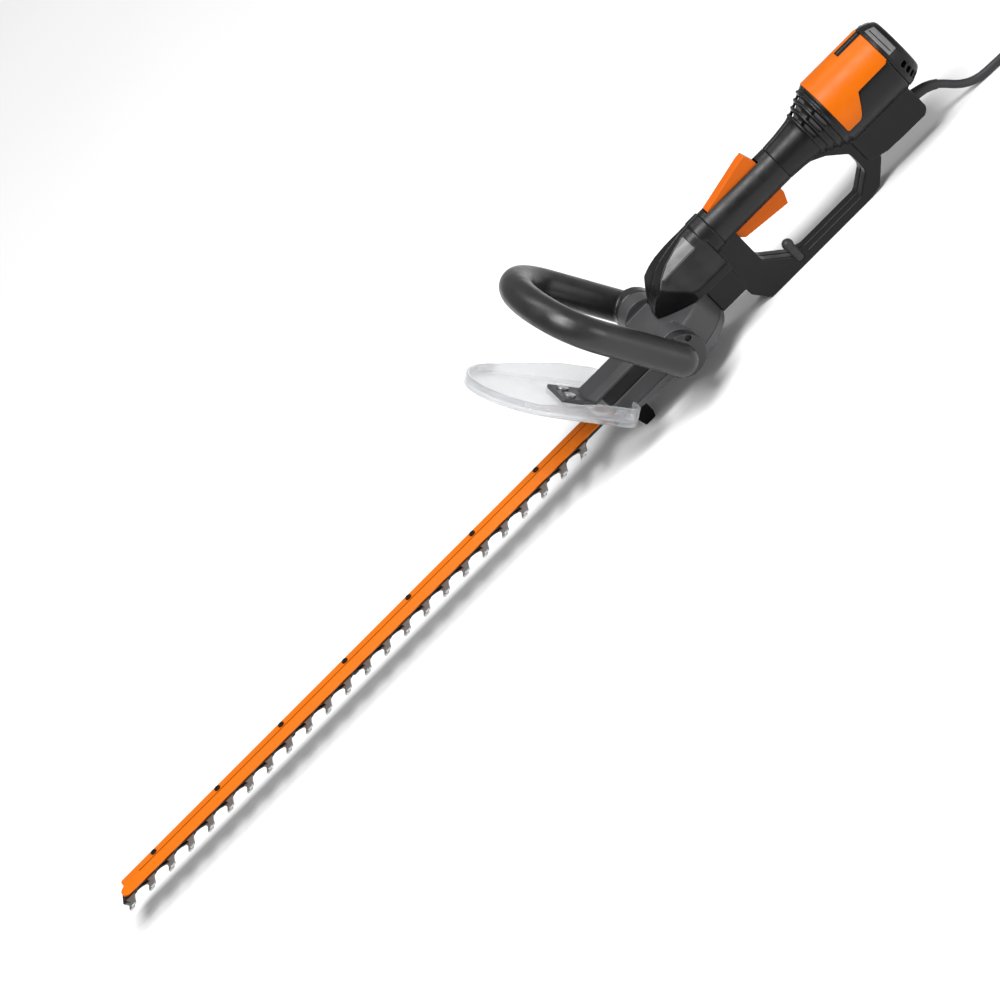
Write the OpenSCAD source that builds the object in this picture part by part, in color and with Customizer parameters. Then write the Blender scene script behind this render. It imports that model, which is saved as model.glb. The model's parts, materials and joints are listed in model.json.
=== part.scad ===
// Corded hedge trimmer: in-line rear motor, D-shaped rear guard grip, front bail handle,
// clear hand shield and a one-sided pair of reciprocating blades under a guide bar.
// +X points to the motor end, +Z up, the teeth face -Y. The trimmer stands on z = 0.

/* [Main heights] */

// height of the plane where the two blades slide on each other
blade_z = 32; // [28:1:40]
// height of the motor shaft and of the main grip's centre line
shaft_z = 89; // [84:1:96]

/* [Blades] */

// number of teeth on each blade
teeth = 24; // [8:1:28]
// distance from one tooth to the next
tooth_pitch = 25.4; // [20:0.1:30]
// tip end of the blades
tip_x = -724; // [-800:1:-300]
// thickness of each blade
blade_t = 1.8; // [1.2:0.1:3]
// how far the teeth reach from the centre line
tooth_reach = 31; // [24:1:40]
// travel of each blade to either side of its middle position
blade_throw = 6.5; // [4:0.5:8]
// number of blade bolts
bolt_count = 7; // [3:1:9]
// distance between blade bolts
bolt_pitch = 82.65; // [60:0.05:110]

/* [Guide bar] */

// height of the guide bar's top face above the blade plane
bar_top = 6.7; // [5:0.1:12]
// near edge of the guide bar
bar_near = -13.5; // [-20:0.5:-8]
// far edge of the guide bar
bar_far = 10.5; // [6:0.5:20]

/* [Handle] */

// outside radius of the main grip
grip_r = 19; // [16:0.5:22]
// radius of the motor housing
motor_r = 36; // [30:0.5:42]
// rear end of the motor housing
motor_end = 330; // [310:1:350]
// half width of the guard below the grip
guard_w = 12; // [8:1:18]
// wall thickness of the housing
wall = 2.5; // [2:0.1:4]

/* [Head] */

// outside radius of the round part of the gear case
case_r = 46; // [42:1:52]
// height of the gear case top
case_top = 63.5; // [60:0.5:70]
// height of the gear case bottom
case_bottom = 21; // [18:0.5:24]

/* [Bail handle] */

// radius of the bail tube
bail_r = 15.5; // [12:0.5:18]
// distance from the centre line to each arm
bail_w = 77; // [65:1:90]
// forward lean of the bail, degrees
bail_lean = 27; // [15:0.5:35]

/* [Shield] */

// half width of the hand shield
shield_w = 63; // [50:1:75]
// forward lean of the shield, degrees
shield_lean = 34.5; // [25:0.5:45]

/* [Cord] */

// diameter of the mains cord
cord_d = 8; // [6:0.2:9]

/* [Hidden] */

$fn = 48;
eps = 0.01;
hub_x = -10.5;
hub_z = 51.5;
idler_x = 31.5;
crank_x = -6;
first_tooth = -721;
first_bolt = -676;
bolt_y = 4;
// route of the mains cord, from inside the housing to inside the plug
exit_tilt = 10;
route = [[292, 0, 41.8], [300, 0, 40.4], [309, 0, 38.8], [314, 0, 37.9], [320, 0, 36.3],
         [325.8, 0, 33.6], [331, 0, 30], [335.3, 0, 25.6], [339, 0, 21.2], [342.6, 0, 16.9],
         [347.2, 0, 12.4], [352.3, -0.2, 8.8], [358, -0.5, 6.2], [364, -0.9, 4.6],
         [370.5, -1.4, cord_d / 2],
         [388, -3, cord_d / 2], [406, -3.5, cord_d / 2], [424, -2, cord_d / 2],
         [442, 2, cord_d / 2], [460, 7, cord_d / 2], [478, 12, cord_d / 2],
         [496, 16.5, cord_d / 2], [514, 19.8, cord_d / 2], [532, 21.6, cord_d / 2],
         [548, 22, cord_d / 2], [560, 22, 4.9], [570, 22, 6.6], [580, 22, 7.8], [588, 22, 8],
         [596, 22, 8], [604, 22, 8]];

// [node to show]

// puts the origin under the middle of the trimmer
base_x = (729.2 - motor_end) / 2;
module stand() {
  translate([base_x, 0, 0]) children();
}

// ---- helpers ----

// a cylinder lying along X
module xcyl(x0, x1, r, z = shaft_z, y = 0) {
  translate([x0, y, z]) rotate([0, 90, 0]) cylinder(h = x1 - x0, r = r);
}

// a cylinder lying along Y, centred on y = 0
module ycyl(x, z, r, w) {
  translate([x, w / 2, z]) rotate([90, 0, 0]) cylinder(h = w, r = r);
}

// a side view profile (x, z) given thickness w across Y
module side(w) {
  translate([0, w / 2, 0]) rotate([90, 0, 0]) linear_extrude(height = w) children();
}

// a ring round the shaft line
module ring(x0, x1, ro, ri, z = shaft_z) {
  difference() {
    xcyl(x0, x1, ro, z);
    xcyl(x0 - 1, x1 + 1, ri, z);
  }
}

// a body of revolution about the shaft line from (x, r) points
module lathe(points) {
  translate([0, 0, shaft_z]) rotate([0, 90, 0])
    rotate_extrude() polygon([for (p = points) [p[1], p[0]]]);
}

// a plain spur gear outline
module gear_2d(n, m, thick = 0.40) {
  rp = n * m / 2;
  union() {
    circle(r = rp - 1.15 * m);
    for (i = [0 : n - 1])
      rotate(i * 360 / n)
        polygon([[rp - 1.3 * m, -thick * 0.72 * PI * m], [rp, -thick * PI * m / 2],
                 [rp + 0.8 * m, -thick * 0.27 * PI * m], [rp + 0.8 * m, thick * 0.27 * PI * m],
                 [rp, thick * PI * m / 2], [rp - 1.3 * m, thick * 0.72 * PI * m]]);
  }
}

// ---- rear handle ----

// outside of grip and motor housing as turned on the shaft line
module barrel() {
  lathe([[76, 0], [76, grip_r + 1.5], [90, grip_r + 1.5], [90, grip_r - 2], [174, grip_r - 2],
         [174, grip_r], [192, grip_r + 1.2], [206, grip_r + 3], [216, grip_r + 5.5],
         [228, motor_r - 6], [238, motor_r - 1.5], [240, motor_r], [311, motor_r], [311, 0]]);
}

// inside of grip and motor housing
module bore() {
  lathe([[64, 0], [64, 14.5], [196, 14.5], [212, 19], [226, 27], [238, 32.5], [311, 32.5],
         [311, 32.6], [320, 32.6], [320, 0]]);
}

// D guard seen from the side
module guard_outer() {
  offset(r = 5) offset(delta = -5)
    polygon([[73.7, 80], [73.7, 17], [86, 0], [213, 0], [228, 3], [248, 24], [248, 80]]);
}

module guard_inner() {
  offset(r = 8) offset(delta = -8)
    polygon([[102.8, 92], [102.8, 35], [126, 14.5], [140, 9], [208, 9], [228, 25], [228, 48],
             [211, 64], [196, 72], [184, 92]]);
}

// nose over the gear case, seen from the side
module nose_side() {
  polygon([[-3.5, 63.7], [-3, 69.5], [2.8, 79.5], [9, 87], [16, 93], [24, 98.5], [34, 102.7],
           [49, 106], [64, 108.3], [78, 108.6], [78, 63.7]]);
}

// nose seen from above
module nose_plan(inset = 0) {
  offset(delta = -inset)
    polygon([[-3.5, -4], [5, -13], [20, -26], [36, -36.5], [42, -38], [78, -38],
             [78, 38], [42, 38], [36, 36.5], [20, 26], [5, 13], [-3.5, 4]]);
}

// nose cross section (y, z)
module nose_section(inset = 0) {
  hull() {
    translate([0, shaft_z]) circle(r = grip_r + 0.6 - inset);
    translate([-38 + inset, 63.7]) square([76 - 2 * inset, 8]);
  }
}

module nose_outer() {
  intersection() {
    side(90) nose_side();
    translate([0, 0, 60]) linear_extrude(height = 60) nose_plan();
    translate([-10, 0, 0]) rotate([90, 0, 90]) linear_extrude(height = 90) nose_section();
  }
}

module nose_inner() {
  intersection() {
    side(90) polygon([[0, 60], [3, 75], [17, 89], [34, 99.5], [53, 102.8], [53, 66.5],
                      [48, 66.5], [48, 60]]);
    translate([0, 0, 50]) linear_extrude(height = 60) nose_plan(wall + 0.5);
    translate([-10, 0, 0]) rotate([90, 0, 90]) linear_extrude(height = 90)
      union() {
        nose_section(wall);
        translate([-35, 60]) square([70, 8]);
      }
  }
}

// cord boss under the motor
module boss_outer() {
  side(30) offset(r = 6) offset(delta = -6)
    polygon([[236, 70], [236, 30], [256, 24], [303, 23], [309, 28], [309, 46], [306, 70]]);
}

module handle_outer() {
  barrel();
  nose_outer();
  difference() {
    side(2 * guard_w) guard_outer();
    side(2 * guard_w + 2) guard_inner();
  }
  // neck between gear case and guard
  translate([40, -14, 26]) cube([36, 28, 39]);
  boss_outer();
  // raised ribs between the vent slots
  for (q = [[211.6, 25], [218.6, 28], [225.6, 31.2], [232.6, 34.6]])
    xcyl(q[0], q[0] + 2.2, q[1]);
}

// edge of the motor cover seen from the side
module cover_side() {
  offset(r = 3) offset(delta = -3)
    polygon([[240, 130], [240, 76.5], [256, 76.5], [260, 80], [272, 99], [308, 99.5],
             [314.8, 105], [314.8, 130]]);
}

// notch at the top rear of the motor cover
module cover_notch(gap = 0) {
  translate([282 - gap, -6 - gap, 110]) cube([40, 12 + 2 * gap, 30]);
}

module motor_cover() {
  color("darkorange")
    difference() {
      intersection() {
        ring(240.3, 311, motor_r + 0.7, motor_r - 1.3);
        side(100) cover_side();
      }
      cover_notch(0);
    }
}

module handle_shell() {
  difference() {
    handle_outer();
    bore();
    nose_inner();
    // seat of the front shaft bearing
    xcyl(50, 61.05, 11.02);
    xcyl(60, 66, 6);
    // seat of the gear case
    translate([0, 0, case_bottom - 5]) cylinder(h = case_top - case_bottom + 5.2, r = case_r + 0.2);
    // recess of the motor cover
    difference() {
      intersection() {
        ring(239, 312, motor_r + 4, motor_r - 1.5);
        side(100) offset(delta = 0.15) cover_side();
      }
      cover_notch(-0.15);
    }
    // vent slots of the rib collar
    for (x = [214.5, 221.5, 228.5])
      for (s = [-1, 1])
        translate([x, 0, shaft_z]) rotate([s * 62, 0, 0]) translate([0, -9, 18]) cube([3, 18, 16]);
    for (x = [214.5, 221.5, 228.5])
      translate([x, -10, shaft_z + 18]) cube([3, 20, 16]);
    // slots for the lock-off lever and the trigger
    translate([96.5, -6.5, shaft_z + 5]) cube([65.5, 13, 25]);
    translate([99.5, -6.5, 62]) cube([63, 13, 20]);
    ycyl(lever_at[0], lever_at[1], 1.52, 22.2);
    ycyl(trigger_at[0], trigger_at[1], 1.52, 22.2);
    // hollow guard bar, cord boss and neck
    side(2 * guard_w - 5) offset(delta = -2.5) difference() {
      guard_outer();
      guard_inner();
    }
    side(24) offset(delta = -3) polygon([[240, 62], [240, 31], [256, 27], [303, 26], [306, 30],
                                         [306, 46], [304, 62]]);
    exit_line() translate([0, 0, -14]) cylinder(h = 30, r = 6.3);
    translate([43, -11, 29]) cube([28, 22, 34]);
    // socket of the cord hook
    translate([129.5, -9.5, 7.4]) cylinder(h = 25, r = 4.62);
    // seats of the light inlays
    for (s = [-1, 1])
      inlay_cut(s, 0.15);
    // screw holes
    for (p = screw_at) ycyl(p[0], p[1], 1.65, 22.6);
    for (p = screw_at)
      translate([p[0], guard_w - 1.9, p[1]]) rotate([-90, 0, 0]) cylinder(h = 30, r = 3.4);
  }
}

// pivots of the lock-off lever and the trigger (x, z)
lever_at = [101, 101];
trigger_at = [105, 77];
screw_at = [[88, 26], [114, 12.5], [200, 4.6], [238, 34]];

// wedge shaped inlay on each flank of the nose
module inlay_cut(s, gap = 0) {
  intersection() {
    translate([0, s * 22, 0]) side(36) offset(delta = gap)
      polygon([[23, 96.6], [38, 102.6], [52, 105.4], [65.5, 107.2], [65.5, 97], [26, 96.2]]);
    difference() {
      nose_outer();
      translate([-10, 0, 0]) rotate([90, 0, 90]) linear_extrude(height = 90)
        nose_section(1 + gap);
    }
  }
}

module nose_inlays() {
  color("gray")
    for (s = [-1, 1]) inlay_cut(s, 0);
}

module handle_shell_left() {
  color("dimgray")
    intersection() {
      handle_shell();
      translate([-20, 0.02, -5]) cube([400, 80, 160]);
    }
}

module handle_shell_right() {
  color("dimgray")
    intersection() {
      handle_shell();
      translate([-20, -80.02, -5]) cube([400, 80, 160]);
    }
}

module grip_sleeve() {
  color("black")
    difference() {
      ring(90.05, 173.95, grip_r, grip_r - 1.85);
      translate([96, -7, shaft_z + 5]) cube([66.5, 14, 25]);
      translate([80, -guard_w - 0.3, 50]) cube([24, 2 * guard_w + 0.6, 30]);
      translate([99, -7, 60]) cube([64, 14, 22]);
    }
}

module rear_cap() {
  color("dimgray")
    difference() {
      lathe([[311.2, 0], [311.2, motor_r], [316, motor_r - 0.6], [324, motor_r - 3.9],
             [328.6, motor_r - 7], [motor_end, motor_r - 9.5], [motor_end, 0]]);
      lathe([[310, 0], [310, motor_r - 3.5], [316, motor_r - 4], [323, motor_r - 7.2],
             [326.5, motor_r - 10.5], [326.5, 0]]);
      for (s = [-1, 1], a = [96 : 14 : 138])
        translate([316.5, 0, shaft_z]) rotate([s * a, 0, 0]) translate([0, -2.5, 20]) cube([6, 5, 30]);
      for (y = [-15 : 7.5 : 15])
        translate([320, y - 1.5, shaft_z - 13]) cube([20, 3, 26]);
    }
}

module cord_hook() {
  color("black")
    translate([129.5, -9.5, 0]) {
      translate([0, 0, 7.5]) cylinder(h = 19.5, r = 4.6);
      translate([0, 0, 27]) sphere(r = 5.6);
    }
}

module shell_screws() {
  color("silver")
    for (p = screw_at) {
      translate([p[0], -11.2, p[1]]) rotate([-90, 0, 0]) cylinder(h = 22, r = 1.6);
      translate([p[0], 10.1, p[1]]) rotate([-90, 0, 0]) cylinder(h = 1.8, r = 3.2);
    }
}

// ---- mains lead ----

// frame of the cord exit: z runs along the cord where it leaves the housing
module exit_line() {
  translate([309, 0, 38.8]) rotate([0, 90 + exit_tilt, 0]) children();
}

// tapered hollow sleeve that follows the first bend of the cord
sleeve_first = 1;
sleeve_last = 6;
sleeve_sides = 20;
function sleeve_ring(i, r) =
  let (d = dir_at(i), s = cross([0, 0, 1], d) / norm(cross([0, 0, 1], d)), u = cross(d, s))
    [for (j = [0 : sleeve_sides - 1])
       route[i] + r * (cos(360 * j / sleeve_sides) * s + sin(360 * j / sleeve_sides) * u)];

module strain_relief() {
  k = sleeve_sides;
  n = sleeve_last - sleeve_first + 1;
  outer = [for (i = [0 : n - 1]) each sleeve_ring(sleeve_first + i, 6.2 - 1.5 * i / (n - 1))];
  inner = [for (i = [0 : n - 1]) each sleeve_ring(sleeve_first + i, cord_d / 2 + 0.12)];
  m = n * k;
  e = (n - 1) * k;
  faces = concat(
    [for (i = [0 : n - 2], j = [0 : k - 1])
       [i * k + j, (i + 1) * k + j, (i + 1) * k + (j + 1) % k, i * k + (j + 1) % k]],
    [for (i = [0 : n - 2], j = [0 : k - 1])
       [m + i * k + (j + 1) % k, m + (i + 1) * k + (j + 1) % k, m + (i + 1) * k + j, m + i * k + j]],
    [for (j = [0 : k - 1]) [j, (j + 1) % k, m + (j + 1) % k, m + j]],
    [for (j = [0 : k - 1]) [m + e + j, m + e + (j + 1) % k, e + (j + 1) % k, e + j]]);
  color("black") polyhedron(points = concat(outer, inner), faces = faces);
}

module cord_clamp() {
  color("black")
    difference() {
      exit_line() translate([-5, -11.9, -12.5]) cube([10, 23.8, 3]);
      exit_line() translate([0, 0, -20]) cylinder(h = 30, r = cord_d / 2 + 0.06);
    }
}

function sub3(a, b) = a - b;
function dir_at(i) =
  let (n = len(route), d = sub3(route[min(i + 1, n - 1)], route[max(i - 1, 0)])) d / norm(d);

// a ten sided tube swept along the route
module cord_tube(r) {
  n = len(route);
  k = 10;
  pts = [for (i = [0 : n - 1])
           let (d = dir_at(i), s = cross([0, 0, 1], d) / norm(cross([0, 0, 1], d)), u = cross(d, s))
             for (j = [0 : k - 1])
               route[i] + r * (cos(36 * j + 18) * s + sin(36 * j + 18) * u)];
  sides = [for (i = [0 : n - 2], j = [0 : k - 1])
             [i * k + j, (i + 1) * k + j, (i + 1) * k + (j + 1) % k, i * k + (j + 1) % k]];
  polyhedron(points = pts,
             faces = concat([[for (j = [0 : k - 1]) j]], sides,
                            [[for (j = [0 : k - 1]) n * k - 1 - j]]));
}

module cord() {
  color("black") cord_tube(cord_d / 2);
}

module plug() {
  color("black")
    difference() {
      union() {
        translate([585, 22, 8]) rotate([0, 90, 0]) cylinder(h = 10, r1 = 5.4, r2 = 7.2);
        intersection() {
          translate([594.5, 9, 0]) cube([25, 26, 16]);
          translate([580, 22, 8]) rotate([0, 90, 0]) cylinder(h = 50, r = 14);
        }
      }
      translate([580, 22, 8]) rotate([0, 90, 0]) cylinder(h = 24.5, r = cord_d / 2 + 0.06);
      for (s = [-1, 1]) translate([606, 22 + s * 6.35 - 0.8, 4.85]) cube([20, 1.6, 6.3]);
    }
}

module plug_pins() {
  color("silver")
    for (s = [-1, 1])
      translate([606.3, 22 + s * 6.35 - 0.75, 4.9]) cube([28, 1.5, 6.2]);
}

// ---- motor ----

module field_core() {
  color("silver")
    difference() {
      ring(262, 296, 32.3, 27);
      xcyl(250, 300, 20, shaft_z, 60);
    }
  color("silver")
    intersection() {
      ring(262, 296, 28, 21.2);
      union() {
        translate([262, -16, shaft_z - 29]) cube([34, 32, 14]);
        translate([262, -16, shaft_z + 15]) cube([34, 32, 14]);
      }
    }
}

module field_coils() {
  color("peru")
    for (s = [-1, 1])
      for (x = [257.5, 296.6])
        intersection() {
          ring(x, x + 4, 26.5, 21.5);
          translate([250, -20, shaft_z + (s > 0 ? 8 : -38)]) cube([60, 40, 30]);
        }
}

module brush_holders() {
  color("goldenrod")
    for (s = [-1, 1])
      translate([303, s > 0 ? 14 : -31.6, shaft_z - 4])
        difference() {
          cube([8, 17.6, 8]);
          translate([1.5, -1, 1.5]) cube([5, 20, 5]);
        }
}

module brushes() {
  color("black")
    for (s = [-1, 1])
      translate([304.7, s > 0 ? 12.4 : -24.4, shaft_z - 2.3]) cube([4.6, 12, 4.6]);
}

module motor_bearings() {
  color("silver") {
    ring(242, 248, 11, 4.05);
    ring(317, 323, 11, 4.05);
  }
}

module baffle() {
  color("dimgray")
    difference() {
      union() {
        ring(241, 249, 14, 11.05);
        ring(240, 242.5, 32.45, 11.05);
        // cone behind the vent slots
        lathe([[208, 16.2], [212, 17.9], [226, 25.9], [238, 31.2], [240.5, 31.2], [240.5, 29.6],
               [237.5, 29.6], [226, 24.2], [212, 16.2], [208, 14.6]]);
      }
      for (a = [150, 180, 210])
        translate([214, 0, shaft_z]) rotate([a, 0, 0]) translate([0, -3, 13]) cube([20, 6, 24]);
      for (a = [0 : 45 : 315])
        translate([230, 0, shaft_z]) rotate([a, 0, 0]) translate([0, -5, 17]) cube([20, 10, 9]);
    }
  color("dimgray")
    difference() {
      ring(315, 326.45, 13.5, 11.05);
    }
}

module armature_core() {
  color("silver")
    difference() {
      ring(262, 296, 20.2, 4);
      for (a = [0 : 30 : 330])
        translate([261, 0, shaft_z]) rotate([a, 0, 0]) translate([0, -0.9, 12]) cube([36, 1.8, 10]);
    }
}

module armature_windings() {
  color("peru") {
    ring(256.8, 261.9, 18, 4);
    ring(296.1, 300.4, 18, 4);
  }
}

module commutator() {
  color("goldenrod")
    difference() {
      ring(301, 313, 12, 4);
      for (a = [0 : 30 : 330])
        translate([300.5, 0, shaft_z]) rotate([a, 0, 0]) translate([0, -0.4, 11]) cube([12, 0.8, 3]);
    }
}

module drive_shaft() {
  color("silver") {
    xcyl(43.6, 50, 2);
    xcyl(48.85, 324, 4);
  }
}

module fan() {
  color("dimgray")
    union() {
      ring(250, 252, 28, 4);
      ring(249.5, 256, 7, 4);
      for (a = [0 : 30 : 330])
        translate([251, 0, shaft_z]) rotate([a, 0, 0]) translate([0, -0.8, 11]) cube([5, 1.6, 16.5]);
    }
}

// ---- first gear stage ----

module input_pinion() {
  color("silver")
    difference() {
      translate([43.4, 0, shaft_z]) rotate([0, 90, 0]) linear_extrude(height = 5.4)
        rotate(180) gear_2d(8, 1.2, 0.36);
      xcyl(40, 50, 2);
    }
}

module shaft_bearing() {
  color("silver")
    ring(54, 61, 11, 4.05);
}

module face_gear() {
  color("silver")
    translate([idler_x, 0, 0]) {
      difference() {
        translate([0, 0, 76]) cylinder(h = 6.6, r = 17);
        translate([0, 0, 75]) cylinder(h = 10, r = 4);
      }
      for (i = [0 : 23])
        rotate((i + 0.5) * 15) translate([13.2, -0.4, 82.5]) cube([2.8, 0.8, 1.9]);
    }
}

module idler_shaft() {
  color("silver") translate([idler_x, 0, 42.2]) cylinder(h = 39.8, r = 4);
}

module drive_pinion() {
  color("silver")
    translate([idler_x, 0, 42.6])
      difference() {
        linear_extrude(height = 10) rotate(180) gear_2d(10, 1.5);
        translate([0, 0, -1]) cylinder(h = 12, r = 4);
      }
}

module idler_bearings() {
  color("silver")
    for (z = [54, 58.6])
      translate([idler_x, 0, z]) difference() {
        cylinder(h = 4.5, r = 9.5);
        translate([0, 0, -1]) cylinder(h = 8, r = 4.05);
      }
}

// ---- crank ----

module crank_gear() {
  color("silver")
    translate([crank_x, 0, 0]) {
      translate([0, 0, 44]) linear_extrude(height = 8)
        difference() {
          rotate(4.5) gear_2d(40, 1.5);
          for (a = [30 : 60 : 330]) rotate(a) translate([18, 0]) circle(r = 4.5);
        }
      translate([0, 0, 51.5]) cylinder(h = 9, r = 6);
    }
}

module crank_cams() {
  color("darkgray")
    translate([crank_x, 0, 0]) {
      translate([0, blade_throw, 32.2]) cylinder(h = 11.8, r = 10);
      translate([0, -blade_throw, 24.5]) cylinder(h = 8, r = 10);
    }
}

module crank_bearing() {
  color("silver")
    translate([crank_x, 0, 54.5]) difference() {
      cylinder(h = 6, r = 12);
      translate([0, 0, -1]) cylinder(h = 8, r = 6.05);
    }
}

// slotted frame round a cam, seen from above
module yoke_frame() {
  difference() {
    polygon([[-26.6, 16], [-24.4, 20.3], [26.6, 20.3], [26.6, -20.3], [-24.4, -20.3], [-26.6, -16]]);
    translate([-23.6, -17.3]) square([47.2, 34.6]);
  }
}

// frame round a cam with a flat tongue welded to its blade
module yoke(z_frame, h_frame, z_tongue, h_tongue) {
  translate([crank_x, 0, 0]) {
    translate([0, 0, z_frame]) linear_extrude(height = h_frame) yoke_frame();
    translate([-48, -10, z_tongue]) cube([22.4, 20, h_tongue]);
  }
}

module upper_yoke() {
  color("gray") yoke(blade_z + 1.9, 4.6, blade_z + 1.9, 2.4);
}

module lower_yoke() {
  color("gray") yoke(blade_z - 6.5, 4.6, blade_z - 3.9, 2);
}

// ---- blades ----

function tooth_x(i) = first_tooth + tooth_pitch * i;

// one hooked tooth seen from above, from the tip side round to the motor side
function tooth_points(x, reach) =
  [[x - 11.9, -11], [x - 7, -12], [x - 2.6, -14.6], [x - 1.2, -18.5], [x - 1.6, -23],
   [x - 4.2, -reach + 1.2], [x - 3.6, -reach], [x + 1.2, -reach + 0.2], [x + 2.4, -reach + 1.4],
   [x + 4.6, -21.5], [x + 6.2, -17], [x + 8.6, -13.6]];

// outline of a blade: straight back, hooked teeth along the near edge
module blade_2d(shift) {
  difference() {
    polygon(concat(
      [[-40, 11], [tip_x + 8 + shift, 11], [tip_x + 5 + shift, 8],
       [first_tooth - 5 + shift, -11.9]],
      [for (i = [0 : teeth - 1])
         let (t = tooth_points(tooth_x(i) + shift, tooth_reach))
           for (k = [(i == 0 ? 4 : 0) : 11]) t[k]],
      [[tooth_x(teeth - 1) + 13.5 + shift, -11], [-40, -11]]));
    for (i = [0 : bolt_count - 1])
      translate([first_bolt + bolt_pitch * i, bolt_y]) {
        square([2 * blade_throw + 0.7, 8.7], center = true);
        for (s = [-1, 1]) translate([s * (blade_throw + 0.35), 0]) circle(r = 4.35);
      }
  }
}

module upper_blade() {
  color("silver")
    translate([0, 0, blade_z + 0.1]) linear_extrude(height = blade_t) blade_2d(0);
}

module lower_blade() {
  color("silver")
    translate([0, 0, blade_z - 0.1 - blade_t]) linear_extrude(height = blade_t) blade_2d(-3.2);
}

module bar_section() {
  polygon([[bar_far, blade_z + 2.2], [bar_far, blade_z + bar_top - 0.8],
           [bar_far - 0.8, blade_z + bar_top], [-2, blade_z + bar_top],
           [bar_near + 0.5, blade_z + 3.7], [bar_near, blade_z + 3.2], [bar_near, blade_z + 2.2]]);
}

module guide_bar() {
  color("darkorange")
    difference() {
      intersection() {
        translate([tip_x, 0, 0]) rotate([90, 0, 90]) linear_extrude(height = -tip_x - 62)
          bar_section();
        translate([0, 0, 20]) linear_extrude(height = 40)
          union() {
            translate([tip_x + 6.4 + 5, 0]) square([700, 40]);
            translate([tip_x + 6, -40]) square([700, 38]);
            translate([tip_x + 6.4, -5]) square([20, 11]);
            translate([tip_x + 11.4, 5.5]) circle(r = 5);
            translate([tip_x + 6, -7.75]) circle(r = 5.75);
          }
      }
      for (i = [0 : bolt_count - 1])
        translate([first_bolt + bolt_pitch * i, bolt_y, 20]) cylinder(h = 30, r = 2.6);
    }
}

module blade_bolts() {
  color("dimgray")
    for (i = [0 : bolt_count - 1])
      translate([first_bolt + bolt_pitch * i, bolt_y, 0]) {
        translate([0, 0, blade_z - 9.4]) cylinder(h = bar_top + 10.4, r = 2.5);
        translate([0, 0, blade_z + bar_top]) cylinder(h = 1.5, r = 3.1);
      }
}

module blade_spacers() {
  color("gray")
    for (i = [0 : bolt_count - 1])
      translate([first_bolt + bolt_pitch * i, bolt_y, blade_z - 2.2])
        difference() {
          union() {
            cylinder(h = 4.38, r = 4);
            translate([0, 0, -1]) cylinder(h = 1, r = 6.5);
          }
          translate([0, 0, -2]) cylinder(h = 8, r = 2.52);
        }
}

module blade_nuts() {
  color("dimgray")
    for (i = [0 : bolt_count - 1])
      translate([first_bolt + bolt_pitch * i, bolt_y, blade_z - 8.8])
        difference() {
          cylinder(h = 5.55, r = 4.9, $fn = 6);
          translate([0, 0, -1]) cylinder(h = 8, r = 2.52);
        }
}

// ---- gear case ----

// straight front part of the gear case seen from the side
module case_side() {
  polygon([[-103, case_top], [-104.5, case_top - 2.5], [-80, 32], [-76, 26.5], [0, 24], [0, case_top]]);
}

// outside of the closed gear case
module case_outer() {
  difference() {
    union() {
      translate([0, 0, 25]) cylinder(h = case_top - 26.5, r = case_r);
      translate([0, 0, case_bottom]) cylinder(h = 4.02, r1 = case_r - 5, r2 = case_r);
      translate([0, 0, case_top - 1.52]) cylinder(h = 1.52, r1 = case_r, r2 = case_r - 1.5);
      intersection() {
        side(66) case_side();
        translate([-110, 0, 0]) rotate([90, 0, 90]) linear_extrude(height = 120)
          polygon([[-33, 24], [-33, 47], [-20.5, 58.5], [-12.5, case_top - 0.7],
                   [12.5, case_top - 0.7], [20.5, 58.5], [33, 47], [33, 24]]);
      }
      for (s = [-1, 1]) translate([hub_x, s * 49.9, hub_z]) rotate([90, 0, 0])
        cylinder(h = 12, r = 21.2, center = true);
      for (s = [-1, 1]) translate([hub_x, s * 42, hub_z]) rotate([90, 0, 0])
        cylinder(h = 14, r = 21.2, center = true);
      // upright tab that carries the shield
      shield_tab();
    }
    // shallow recess in each sloping flank
    for (s = [-1, 1])
      translate([-112, s * 26.75, 52.75]) rotate([-s * 42.6, 0, 0])
        translate([0, -6.8, -1.6]) cube([74, 13.6, 6]);
    // seam groove round the back
    translate([0, 0, 48.2]) difference() {
      cylinder(h = 0.8, r = case_r + 1);
      translate([0, 0, -1]) cylinder(h = 3, r = case_r - 0.6);
      translate([-60, -60, -1]) cube([76, 120, 3]);
    }
  }
}

module shield_tab() {
  shield_plane() translate([-22, 26, 3]) cube([44, 39, 4]);
}

module case_cavity() {
  translate([0, 0, 23.5]) cylinder(h = 29.5, r = case_r - 3);
  translate([-74, -26, 27.6]) cube([74, 52, 14.8]);
  // way out for guide bar and blades
  translate([-115, -14, blade_z - 2.4]) cube([60, 26, 4.7]);
  translate([-115, bar_near - 0.1, blade_z + 2.15]) cube([53.2, bar_far - bar_near + 0.2, bar_top - 1.9]);
  translate([-115, -32, blade_z - 2.4]) cube([30, 40, 4.7]);
  // bearing seats
  translate([crank_x, 0, 50]) cylinder(h = 10.6, r = 12.02);
  translate([idler_x, 0, 54]) cylinder(h = 12, r = 9.52);
  translate([idler_x, 0, 50]) cylinder(h = 5, r = 6);
  for (p = case_screw_at) translate([p[0], p[1], 10]) cylinder(h = 34.5, r = 1.95);
}

case_screw_at = [[-70, 29.2], [-70, -29.2], [-48, 29.2], [-48, -29.2]];

module gear_case_upper() {
  color("dimgray")
    difference() {
      case_outer();
      case_cavity();
      translate([-150, -100, 0]) cube([250, 200, blade_z + 0.02]);
      for (s = [-1, 1])
        for (p = handle_screw_at)
          translate([p[0], s * 46, p[1]]) rotate([90, 0, 0]) cylinder(h = 40, r = 1.95, center = true);
      for (y = [-10, 10])
        shield_plane() translate([y, 54, 2]) cylinder(h = 8, r = 4.6);
    }
}

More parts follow.
